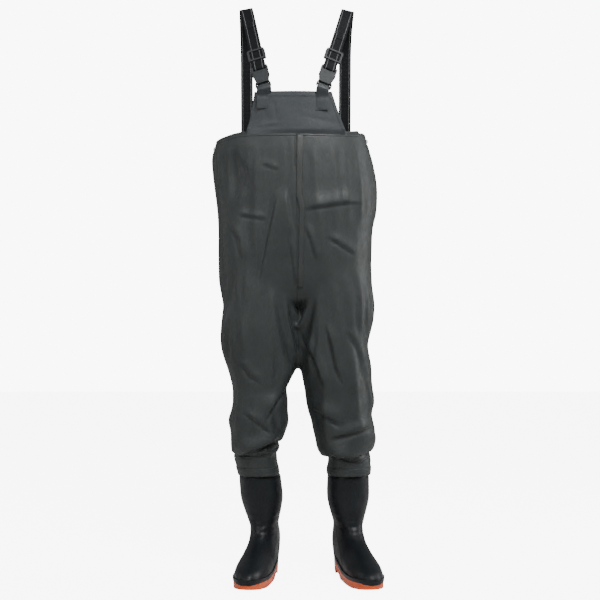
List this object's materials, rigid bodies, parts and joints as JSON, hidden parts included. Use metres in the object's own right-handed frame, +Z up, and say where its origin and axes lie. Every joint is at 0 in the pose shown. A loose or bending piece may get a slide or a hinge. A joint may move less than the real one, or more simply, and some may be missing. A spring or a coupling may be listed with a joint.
{
  "type": "chest waders",
  "caption": "Chest-high waterproof wading trousers with welded moulded boots, a folding bib and adjustable shoulder straps with side-release buckles.",
  "frame": {"origin": "on the ground under the middle of the bounding box", "axes": "+Z up, the wearer faces -Y and the wearer's left is +X"},
  "size_m": [0.438, 0.3332, 1.4517],
  "materials": {
    "coated_fabric": "matt dark grey-green PVC-coated fabric",
    "bib_fabric": "matt dark grey PVC-coated fabric, a little bluer",
    "seam_tape": "welded tape, satin",
    "elastic": "woven elastic",
    "webbing": "ribbed woven webbing, black with two grey lines",
    "buckle_plastic": "satin moulded acetal",
    "rivet_metal": "nickel-plated",
    "boot_pvc": "glossy moulded PVC",
    "outsole_pvc": "satin orange-red moulded PVC",
    "lining": "knitted nylon lining",
    "insole_foam": "felt-faced foam"
  },
  "bodies": {
    "trousers": {"left_front_panel": "coated_fabric", "left_back_panel": "coated_fabric", "right_front_panel": "coated_fabric", "right_back_panel": "coated_fabric", "front_seam_tape": "seam_tape", "back_seam_tape": "seam_tape", "left_side_seam_tape": "seam_tape", "right_side_seam_tape": "seam_tape", "crotch_patch": "coated_fabric", "waist_hem": "coated_fabric", "waist_elastic": "elastic", "waist_rivets": "rivet_metal", "left_knee_band": "coated_fabric", "right_knee_band": "coated_fabric", "left_strap_anchor": "coated_fabric", "left_back_strap": "webbing", "left_shoulder_strap": "webbing", "right_strap_anchor": "coated_fabric", "right_back_strap": "webbing", "right_shoulder_strap": "webbing"},
    "bib": {"bib_panel": "bib_fabric", "bib_top_hem": "bib_fabric", "bib_side_hems": "bib_fabric", "left_bib_tab": "bib_fabric", "left_buckle_socket": "buckle_plastic", "right_bib_tab": "bib_fabric", "right_buckle_socket": "buckle_plastic"},
    "left_lower_leg": {"left_front_shin": "coated_fabric", "left_back_shin": "coated_fabric", "left_boot_upper": "boot_pvc", "left_shaft_lining": "lining", "left_insole": "insole_foam", "left_rand": "boot_pvc", "left_outsole": "outsole_pvc"},
    "left_clip": {"left_buckle_clip": "buckle_plastic", "left_web_loop": "webbing", "left_front_strap": "webbing"},
    "left_inner_prong": {"left_inner_prong": "buckle_plastic"},
    "left_outer_prong": {"left_outer_prong": "buckle_plastic"},
    "left_slider": {"left_tri_glide": "buckle_plastic"},
    "right_lower_leg": {"right_front_shin": "coated_fabric", "right_back_shin": "coated_fabric", "right_boot_upper": "boot_pvc", "right_shaft_lining": "lining", "right_insole": "insole_foam", "right_rand": "boot_pvc", "right_outsole": "outsole_pvc"},
    "right_clip": {"right_buckle_clip": "buckle_plastic", "right_web_loop": "webbing", "right_front_strap": "webbing"},
    "right_inner_prong": {"right_inner_prong": "buckle_plastic"},
    "right_outer_prong": {"right_outer_prong": "buckle_plastic"},
    "right_slider": {"right_tri_glide": "buckle_plastic"}
  },
  "joints": [
    {"name": "bib_fold", "type": "hinge", "parent": "trousers", "child": "bib", "pos_m": [0.0014, -0.088, 1.125], "axis": [1, 0, 0], "range_deg": [0, 120], "deforming": ["left_shoulder_strap", "right_shoulder_strap"]},
    {"name": "left_knee_bend", "type": "hinge", "parent": "trousers", "child": "left_lower_leg", "pos_m": [0.1164, 0.003, 0.47], "axis": [1, 0, 0], "range_deg": [0, 45], "deforming": ["left_knee_band"]},
    {"name": "right_knee_bend", "type": "hinge", "parent": "trousers", "child": "right_lower_leg", "pos_m": [-0.0876, 0.003, 0.47], "axis": [1, 0, 0], "range_deg": [0, 45], "deforming": ["right_knee_band"]},
    {"name": "left_clip_release", "type": "slide", "parent": "bib", "child": "left_clip", "axis": [0.2918, 0.2075, 0.9337], "range_m": [0, 0.03], "deforming": ["left_inner_prong", "left_outer_prong", "left_shoulder_strap"]},
    {"name": "left_inner_prong_squeeze", "type": "hinge", "parent": "left_clip", "child": "left_inner_prong", "pos_m": [0.0713, -0.0737, 1.2726], "axis": [0.2447, -0.9599, 0.1369], "range_deg": [0, 13], "stiffness_Nm_per_rad": 0.05, "springref_deg": -5.73},
    {"name": "left_outer_prong_squeeze", "type": "hinge", "parent": "left_clip", "child": "left_outer_prong", "pos_m": [0.0944, -0.069, 1.2643], "axis": [-0.2447, 0.9599, -0.1369], "range_deg": [0, 13], "stiffness_Nm_per_rad": 0.05, "springref_deg": -5.73},
    {"name": "left_strap_adjust", "type": "slide", "parent": "left_clip", "child": "left_slider", "axis": [0.2918, 0.2075, 0.9337], "range_m": [-0.005, 0.05]},
    {"name": "right_clip_release", "type": "slide", "parent": "bib", "child": "right_clip", "axis": [-0.2077, 0.2077, 0.9559], "range_m": [0, 0.03], "deforming": ["right_inner_prong", "right_outer_prong", "right_shoulder_strap"]},
    {"name": "right_inner_prong_squeeze", "type": "hinge", "parent": "right_clip", "child": "right_inner_prong", "pos_m": [-0.0721, -0.0746, 1.2723], "axis": [0.2242, 0.9613, -0.1602], "range_deg": [0, 13], "stiffness_Nm_per_rad": 0.05, "springref_deg": -5.73},
    {"name": "right_outer_prong_squeeze", "type": "hinge", "parent": "right_clip", "child": "right_outer_prong", "pos_m": [-0.0959, -0.0701, 1.2661], "axis": [-0.2242, -0.9613, 0.1602], "range_deg": [0, 13], "stiffness_Nm_per_rad": 0.05, "springref_deg": -5.73},
    {"name": "right_strap_adjust", "type": "slide", "parent": "right_clip", "child": "right_slider", "axis": [-0.2077, 0.2077, 0.9559], "range_m": [-0.005, 0.05]}
  ],
  "couplings": [
    {"joint": "left_inner_prong_squeeze", "follows": "left_outer_prong_squeeze", "ratio": 1},
    {"joint": "right_inner_prong_squeeze", "follows": "right_outer_prong_squeeze", "ratio": 1}
  ]
}
